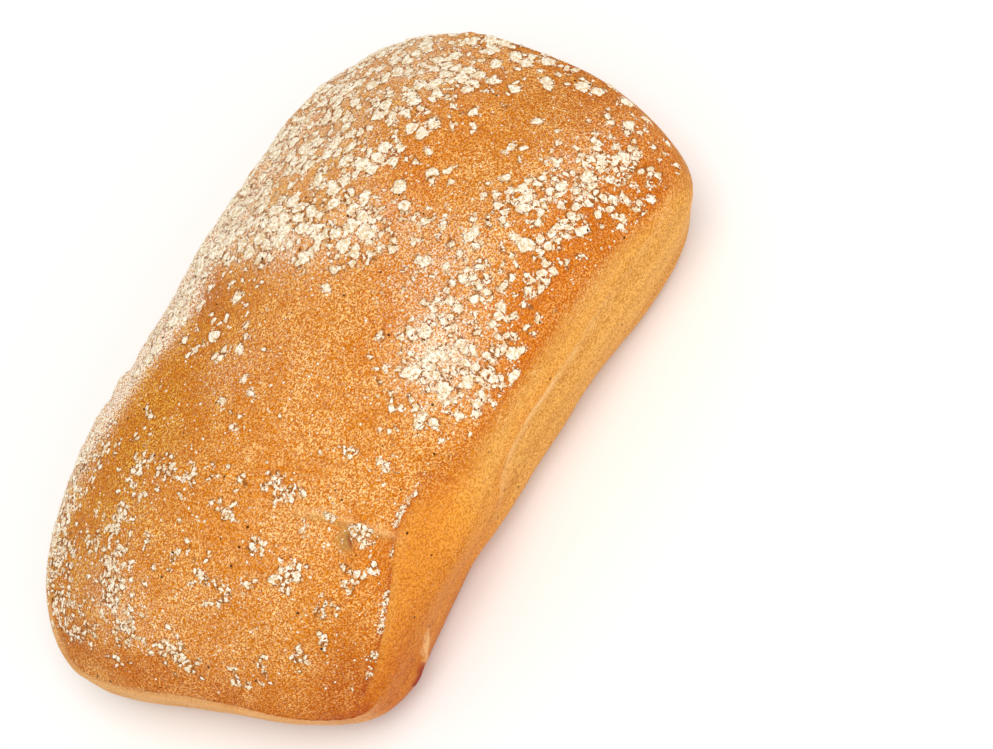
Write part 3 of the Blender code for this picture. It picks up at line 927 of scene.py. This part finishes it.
# Patterns of noise: size in millimetres, detail, roughness, the noise's ends and the shares there.
PATTERNS = {
    "pale flecks": (0.48, 3.0, 0.65, 0.48, 0.56, 0.0, 1.0),
    "more or fewer flecks": (8, 3.0, 0.6, 0.35, 0.65, 0.40, 1.15),
    "flecks of the wall": (0.46, 3.0, 0.75, 0.43, 0.55, 0.0, 1.0),
    "brown blotches": (2.0, 3.0, 0.6, 0.25, 0.70, 0.55, 1.0),
    "breaks in pale skin": (0.60, 3.0, 0.7, 0.36, 0.56, 0.30, 1.0),
    # painted shade in a rim beside the flour clumps, broken into flecks
    "shade flecks beside the flour": (0.8, 2.0, 0.6, 0.44, 0.52, 0.12, 1.0),
    # painted shade in the flour's hollows; below, brown pits that are part painted shade
    "painted shade of the flour": (0.7, 4.0, 0.65, 0.38, 0.60, 1.0, 0.0),
    "pits in the flour": (0.38, 3.0, 0.7, 0.58, 0.64, 0.0, 1.0),
}
THREADS = 1.20  # pale threads between the flecks, mm
GRIT = 0.34  # fine dark grit of the top
BANDS = 6  # soft bands along the wall
POWDER = 0.36  # the finest flour
SKIN = 0.6  # roughness of the skin
FLOUR_GRAIN = 0.35
# Small holes, painted black inside as their shade: in some cells of a pattern, with a black core and a
# soft rim.
HOLE_SPACING = 3.6
HOLE_CORE = 0.062  # radius, as a share of the spacing
HOLE_RIM = 0.082
HOLE_EMPTY = 0.50  # share of the cells that hold none


def pattern(n, name):
    size, detail, roughness, *ends = PATTERNS[name]
    return n.between(n.noise(size, detail, roughness), *ends)


def pinholes(n):
    """1 in the small holes, whose black core is painted shade."""
    lot = n.new("ShaderNodeSeparateColor", {0: n.cells(HOLE_SPACING, output="Color")})
    hole = n.between(n.cells(HOLE_SPACING), HOLE_CORE, HOLE_RIM, 1.0, 0.0)
    return n.times(hole, n.between(lot.outputs[0], HOLE_EMPTY, HOLE_EMPTY + 0.02))


def top_colour(n, hot_and_shade, thread):
    """Pale flecks and threads over orange, with fine dark grit."""
    mottle = n.math("MAXIMUM", pattern(n, "pale flecks"), n.times(thread, 0.90))
    mottle = n.times(mottle, pattern(n, "more or fewer flecks"))
    colour = n.mix(n.times(mottle, n.between(hot_and_shade, 0.0, 1.0, 0.95, 0.45)), ORANGE, PEACH)
    grit = n.between(n.noise(GRIT, 3.0, 0.65, place=n.stretch((1.0, 1.0, -1.0))), 0.468, 0.548)
    return n.mix(n.times(grit, 0.88), colour, EMBER)


def wall_colour(n):
    """Golden and smoother than the top, with broad soft bands along the wall."""
    band = n.between(n.noise(BANDS, 2.0, 0.5, 0.3, place=n.stretch((0.10, 0.10, 1.0))), 0.35, 0.65)
    pale = n.math("ADD", n.times(band, 0.28), n.times(pattern(n, "flecks of the wall"), 0.72))
    return n.mix(pale, GOLD, GOLD_PALE)


def tinted(n, colour, browned, olive, hot_and_shade, pale):
    """The crust's colour under its tints, pale skin and painted highlights; the orange tint also paints
    shade above the wall's seam.
    """
    colour = n.mix(olive, colour, OLIVE_TINT, "MULTIPLY")
    browned = n.times(browned, pattern(n, "brown blotches"))
    colour = n.mix(browned, colour, BROWN_TINT, "MULTIPLY")
    colour = n.mix(hot_and_shade, colour, HOT_AND_SHADE_TINT, "MULTIPLY")
    return n.mix(n.times(pale, pattern(n, "breaks in pale skin")), colour, SEAM_PALE)


def powder_share(n, dust):
    grain = n.math("ADD", n.times(dust, 0.16), n.noise(POWDER, 4.0, 0.7))
    return n.times(n.between(grain, 0.60, 0.68), n.between(dust, 0.0, 0.9, 0.34, 0.92))


def crust_material():
    n = Nodes("crust")
    browned, olive, wall = n.masks("tone")
    # the second mask is painted shade beside the flour, the third a deeper orange that above the wall's
    # seam is painted shade
    dust, rim, hot_and_shade = n.masks("cover")
    # the first of these is scorched crust with painted shade, the second pale skin with painted
    # highlights, the third painted shade
    burnt_and_shade, pale, pit = n.masks("spots")
    ridge = n.math("ABSOLUTE", n.math("SUBTRACT", n.noise(THREADS, 2.0, 0.5, 0.6), 0.5))
    thread = n.between(ridge, 0.0, 0.050, 1.0, 0.0)
    powder = powder_share(n, dust)
    # painted shade in a rim beside the flour clumps, broken into dark flecks
    dark = n.times(rim, pattern(n, "shade flecks beside the flour"))
    # the holes' black core is painted shade
    hole = pinholes(n)
    colour = n.mix(wall, top_colour(n, hot_and_shade, thread), wall_colour(n))
    colour = tinted(n, colour, browned, olive, hot_and_shade, pale)
    # Over the powder: painted shade beside the flour, painted shade of the pit, scorched crust with
    # painted shade, and painted shade in the holes.
    layers = ((powder, FLOUR), (dark, SHADE), (pit, PIT), (burnt_and_shade, BURNT_AND_SHADE), (n.times(hole, 0.9), BLACK))
    for share, layer in layers:
        colour = n.mix(share, colour, layer)
    rough = n.between(powder, 0.0, 1.0, 0.52, 0.9)
    skin = n.math("ADD", n.times(thread, 0.35), n.noise(SKIN, 4.0, 0.6))
    skin = n.bump(n.math("SUBTRACT", skin, n.times(hole, 2.0)), 0.10 * MM, 0.9)
    return n.finished(Base_Color=colour, Roughness=rough, Specular_IOR_Level=0.08, Normal=skin)


def flour_material():
    n = Nodes("flour")
    # painted shade in the flour's hollows
    colour = n.mix(pattern(n, "painted shade of the flour"), FLOUR, FLOUR_SHADE)
    # brown pits and cracks: part crust showing through, part painted shade
    colour = n.mix(n.times(pattern(n, "pits in the flour"), 0.75), colour, SHADE)
    # black painted as the shade inside small holes
    colour = n.mix(pinholes(n), colour, BLACK)
    skin = n.bump(n.noise(FLOUR_GRAIN, 4.0, 0.7), 0.12 * MM, 0.8)
    return n.finished(Base_Color=colour, Roughness=0.95, Specular_IOR_Level=0.1, Normal=skin)


# ==== crust ====
# Soft tints in millimetres: x, y, reach along X, reach along Y, how much.
OLIVE_PATCHES = [
    (-32, 24, 26, 15, 0.7), (-58, 20, 16, 14, 0.6), (64, -9, 12, 14, 0.35), (22, 28, 22, 16, 0.95),
    (45, 16, 22, 14, 0.55), (0, 34, 20, 8, 0.6),
]
BROWN_PATCHES = [
    (-1, 28, 5, 4, 0.75), (-66, -22, 8, 10, 0.45), (67, -18, 10, 14, 0.55), (50, -36, 16, 5, 0.35),
    (-68, 8, 4, 22, 0.35), (-56, -34, 12, 4, 0.55),
]
HAZE_PATCHES = [
    (30, 26, 26, 13, 1.0), (62, 20, 12, 14, 0.5), (24, 6, 9, 9, 0.5), (8, -24, 9, 8, 0.6),
    (-57, 18, 14, 14, 0.2),
]
HOT_PATCHES = [
    (38, 0, 16, 7, 0.55), (45, -30, 22, 6, 0.7), (20, -33, 18, 4, 0.55), (4, 30, 6, 4, 0.5),
    (-30, -31, 14, 4, 0.35), (-6, 10, 10, 8, 0.3), (10, -12, 16, 6, 0.3),
]
BROWN_CORNER = [(-54, -37, 9, 7, 0.9)]  # browned down the wall too
# How much the other parts of the crust are browned.
BROWN = {
    "shoulder": 0.35, "foot": 0.8, "far end": 0.75, "near end": 0.10, "left": 0.35,
    "near edge": 0.35, "near right": 0.30, "near right foot": 0.65,
}
# Dark red marks: scorched at the corner and the near right edge; in the crease and along the dimple's
# steep edge they are painted shade.
SCORCH_AND_SHADE = {"corner": 0.55, "crease": 0.35, "dimple": 0.75, "edge": 0.42}
# How pale parts of the crust are: on the seam, the wrinkle's crest and the ripples' crests this is
# painted highlight; elsewhere it is pale skin.
PALE = {
    "corner flake": 0.85, "near end": 0.50, "haze": 0.35, "flap": 0.8, "seam": 0.75,
    "under the seam": 0.34, "wrinkle": 0.60, "ripples": 0.28,
}
PIT_SHADE = 0.9
TROUGH_SHADE = 0.45
FLAP = (-26.9, -27.6, 41.2)  # middle of the pale flap beside the dimple, mm
FLAP_REACH = 1.5


def facing(normals):
    """How much each point faces right, left, the near end and the far end."""
    right, left = eased(-normals[:, 1], 0.1, 0.6), eased(normals[:, 1], 0.1, 0.6)
    near, far = eased(-normals[:, 0], 0.2, 0.7), eased(normals[:, 0], 0.2, 0.7)
    return right, left, near, far


def shoulder_band(surface):
    """1 along the shoulder line all round."""
    return bell(surface.level - 0.02, 0.10) * (0.7 + 0.3 * noise(surface.smooth, 10, 51))


def top_share(level):
    return 1 - eased(level, 0.0, 0.5)


def wall_share(surface, near_right):
    """How much each point has the wall's smoother golden crust."""
    level, place = surface.level, surface.smooth
    to_right, _, to_near, _ = facing(surface.normals)
    wall = eased(level + 0.10 * noise(place, 6, 171), -0.05, 0.60)
    wall = wall * clipped(0.55 + 0.35 * to_right + 0.45 * to_near)
    wall = wall * (1 - to_near * (1 - eased(near_edge(place, level), -0.01, 0.25)))
    return wall + (0.75 * eased(level, -0.02, 0.10) - wall) * near_right


def tone_masks(surface):
    """Browned, olive and wall-like crust."""
    level, place = surface.level, surface.smooth
    to_right, to_left, to_near, to_far = facing(surface.normals)
    under = eased(level, 2.0, 2.6)
    near_right = to_right * eased(-place[:, 0], 12 * MM, 24 * MM) * (1 - to_near)
    shoulder = shoulder_band(surface) * (1 - 0.4 * to_right) * (1 - 0.8 * to_left)
    ends = BROWN["far end"] * to_far + BROWN["near end"] * to_near + BROWN["left"] * to_left
    near_foot = to_right * eased(-place[:, 0], 26 * MM, 44 * MM) * eased(level, 0.2, 0.8)
    browned = amount(place, BROWN_PATCHES) * top_share(level) + BROWN["shoulder"] * shoulder
    browned += BROWN["foot"] * eased(level, 1.30, 1.95) + ends * eased(level, 0.0, 0.4) + under
    browned += BROWN["near edge"] * to_near * bell(near_edge(place, level) + 0.035, 0.035)
    browned += amount(place, BROWN_CORNER) + BROWN["near right foot"] * near_foot
    browned += BROWN["near right"] * near_right * eased(level, 0.0, 0.15)
    olive = amount(place, OLIVE_PATCHES) * top_share(level) + 0.5 * to_left * (1 - under)
    return browned, olive, wall_share(surface, near_right) * (1 - under)


def cover_masks(surface):
    """Dust, painted shade in a rim beside the flour, and a deeper orange crust that above the wall's
    seam is painted shade.
    """
    level, place = surface.level, surface.smooth
    to_right, _, _, _ = facing(surface.normals)
    dust = amount(place, DUST_PATCHES) * flour_fall(surface)
    # the rim: painted shade beside the flour clumps
    rim = eased(np.maximum(*flour_fields(surface)), -0.60 * MM, 0.0)
    over, strength = seam_distance(place)
    # painted shade in the hollow above the seam, given as a deeper orange
    shade_over_seam = strength * eased(over, 0.0, 0.5) * (1 - eased(over, 0.8, 7.0))
    near_wall = to_right * eased(-place[:, 0], -4 * MM, 16 * MM) * eased(level, 0.0, 0.3)
    hot_and_shade = amount(place, HOT_PATCHES) * top_share(level) + 0.5 * shoulder_band(surface) * to_right
    hot_and_shade += (0.85 * near_wall + 0.9 * shade_over_seam) * (1 - eased(level, 2.0, 2.6))
    return dust, rim, hot_and_shade


def burnt_and_shade_mask(level, place):
    """Scorched crust at the corner's spot and rim and at the near right edge, and painted shade in the
    crease and along the dimple's steep edge.
    """
    _, steep = dimple(place)
    edge = shoulder_line(place, level) * eased(noise(place, 3, 191), -0.5, 0.4)
    # painted shade along the dimple's steep edge; the corner's spot and rim are scorched
    burnt_and_shade = corner_mark(place, CORNER_SPOT, 1.9) + SCORCH_AND_SHADE["dimple"] * steep
    burnt_and_shade += SCORCH_AND_SHADE["corner"] * bell(along(place, CORNER_RIM)[0], 0.6)
    # painted shade in the crease; the near right edge is scorched
    return burnt_and_shade + SCORCH_AND_SHADE["crease"] * bell(along(place, CREASE)[0], 0.5) + SCORCH_AND_SHADE["edge"] * edge


def pale_mask(level, place, to_near):
    """Stretched and floury crust: flakes, the near end and the paler wall under the seam; and painted
    highlights along the seam, on the wrinkle's crest and on the ripples' crests.
    """
    tan = eased(near_edge(place, level), -0.010, 0.10) * (1 - eased(level, 1.3, 1.9))
    over, strength = seam_distance(place)
    patchy = eased(rough_noise(place, 3, 211, 2), -0.9, 0.3)
    beyond, fold = fold_distance(place)
    # the ripples' crests get a painted highlight
    top = PALE["haze"] * amount(place, HAZE_PATCHES) + PALE["ripples"] * clipped(ripples(place))
    pale = top * top_share(level) + PALE["corner flake"] * corner_mark(place, CORNER_FLAKE, 1.8)
    pale += PALE["near end"] * to_near * tan * (0.9 + 0.6 * noise(place, 5, 233))
    pale += PALE["flap"] * near_spot(place, FLAP, FLAP_REACH)
    # painted highlight along the seam's fold
    pale += PALE["seam"] * strength * patchy * bell(over + 0.9, 1.0)
    pale += PALE["under the seam"] * strength * eased(over, -5.0, -0.8) * (over < 0)
    # painted highlight on the wrinkle's crest
    return pale + PALE["wrinkle"] * fold * bell(beyond, 0.7) * eased(noise(place, 2, 181), -0.8, 0.1)


def pit_mask(place):
    """The dimple's shade, and that of the trough beside the wrinkle."""
    depth, _ = dimple(place)
    beyond, fold = fold_distance(place)
    pit = PIT_SHADE * eased(depth, 0.02, 0.65) * (0.8 + 0.3 * noise(place, 1.2, 63))
    return pit + TROUGH_SHADE * fold * bell(beyond + 1.0, 0.5)


def crust_piece(material):
    surface = Surface(CRUST_LONG, CRUST_WIDE, CRUST_RINGS, CRUST_RINGS, BASE_RINGS)
    faces = surface.quads.tolist() + [surface.rings[-1][::-1].tolist()]
    mesh = new_mesh("crust", dress(surface), faces)
    colour_layer(mesh, "tone", *tone_masks(surface))
    colour_layer(mesh, "cover", *cover_masks(surface))
    level, place = surface.level, surface.smooth
    # pale skin with painted highlights
    pale = pale_mask(level, place, facing(surface.normals)[2])
    # scorched crust with painted shade, pale skin with painted highlights, and the painted shade of the
    # pit
    colour_layer(mesh, "spots", burnt_and_shade_mask(level, place), pale, pit_mask(place))
    new_piece("crust", mesh, material)


# ==== floor, light and camera ====
CAMERA_AZIMUTH = math.radians(22.4)  # from -Y towards -X
CAMERA_ELEVATION = math.radians(65.6)
CAMERA_ROLL = math.radians(38.0)
CAMERA_DISTANCE = 0.503
CAMERA_TARGET = Vector((0.0152, -0.0233, 0.0159))
CAMERA_LENS = 94.3  # millimetres on a 36 mm sensor
LIGHT_DISTANCE = 1.6
LIGHT_SIZE = 1.1
KEY_POWER = 14.0
SIDE_POWER = 4.0
SKY_STRENGTH = 0.68
FLOOR_HALF = 3.0
FLOOR_GAP = 0.0002  # the floor lies this far under the roll


def camera_axes():
    """The camera's right, up and back directions."""
    back = Vector((-math.sin(CAMERA_AZIMUTH), -math.cos(CAMERA_AZIMUTH), 0.0))
    back = back * math.cos(CAMERA_ELEVATION)
    back.z = math.sin(CAMERA_ELEVATION)
    level_right = Vector((0, 0, 1)).cross(back).normalized()
    level_up = back.cross(level_right)
    up = level_up * math.cos(CAMERA_ROLL) + level_right * math.sin(CAMERA_ROLL)
    return up.cross(back), up, back


def make_camera():
    right, up, back = camera_axes()
    data = bpy.data.cameras.new("camera")
    data.lens = CAMERA_LENS
    data.clip_start = 0.01
    camera = placed("camera", data)
    turn = Matrix((right, up, back)).transposed().to_4x4()
    camera.matrix_world = Matrix.Translation(CAMERA_TARGET + back * CAMERA_DISTANCE) @ turn
    bpy.context.scene.camera = camera


def make_light(name, direction, power, colour):
    data = bpy.data.lights.new(name, "AREA")
    data.shape = "DISK"
    data.size = LIGHT_SIZE
    data.energy = power
    data.color = colour
    light = placed(name, data)
    direction = direction.normalized()
    light.location = direction * LIGHT_DISTANCE
    light.rotation_euler = direction.to_track_quat("Z", "Y").to_euler()


def make_lights():
    right, up, back = camera_axes()
    make_light("key", back * 1.0 + up * 0.25 - right * 0.1, KEY_POWER, (1.0, 0.99, 0.97))
    make_light("side", right * 1.0 + back * 0.7 - up * 0.3, SIDE_POWER, (1.0, 1.0, 1.0))
    world = bpy.data.worlds.new("world")
    bpy.context.scene.world = world
    world.use_nodes = True
    sky = world.node_tree.nodes["Background"]
    sky.inputs["Color"].default_value = (1.0, 1.0, 1.0, 1.0)
    sky.inputs["Strength"].default_value = SKY_STRENGTH
    bpy.context.scene.view_settings.view_transform = "Standard"


def make_floor():
    corners = np.array([(-1, -1, 0), (1, -1, 0), (1, 1, 0), (-1, 1, 0)]) * FLOOR_HALF
    mesh = new_mesh("floor", corners - (0, 0, FLOOR_GAP), [[0, 1, 2, 3]])
    n = Nodes("floor")
    tint = n.mix(n.noise(200, 2.0), rgb(244, 244, 243), rgb(247, 247, 246))
    mesh.materials.append(n.finished(Base_Color=tint, Roughness=0.9))
    floor = placed("floor", mesh)


def flour_pieces(material):
    """Flakes, the smaller crumbs between them and single specks."""
    surface = Surface(FLOUR_LONG, FLOUR_WIDE, FLOUR_RINGS, FLOUR_RINGS_USED, 0)
    points = dress(surface)
    normals = surface.corner_normals(points)
    flakes, crumbs = flour_fields(surface)
    both = np.maximum(flakes, crumbs)
    meshes = (
        clump_mesh("flour_flakes", surface, points, normals, flakes),
        clump_mesh("flour_crumbs", surface, points, normals, crumbs),
        speck_mesh("flour_specks", points, normals, speck_share(surface, both)),
    )
    for mesh in meshes:
        new_piece(mesh.name, mesh, material)


make_camera()
make_lights()
make_floor()
crust_piece(crust_material())
flour_pieces(flour_material())
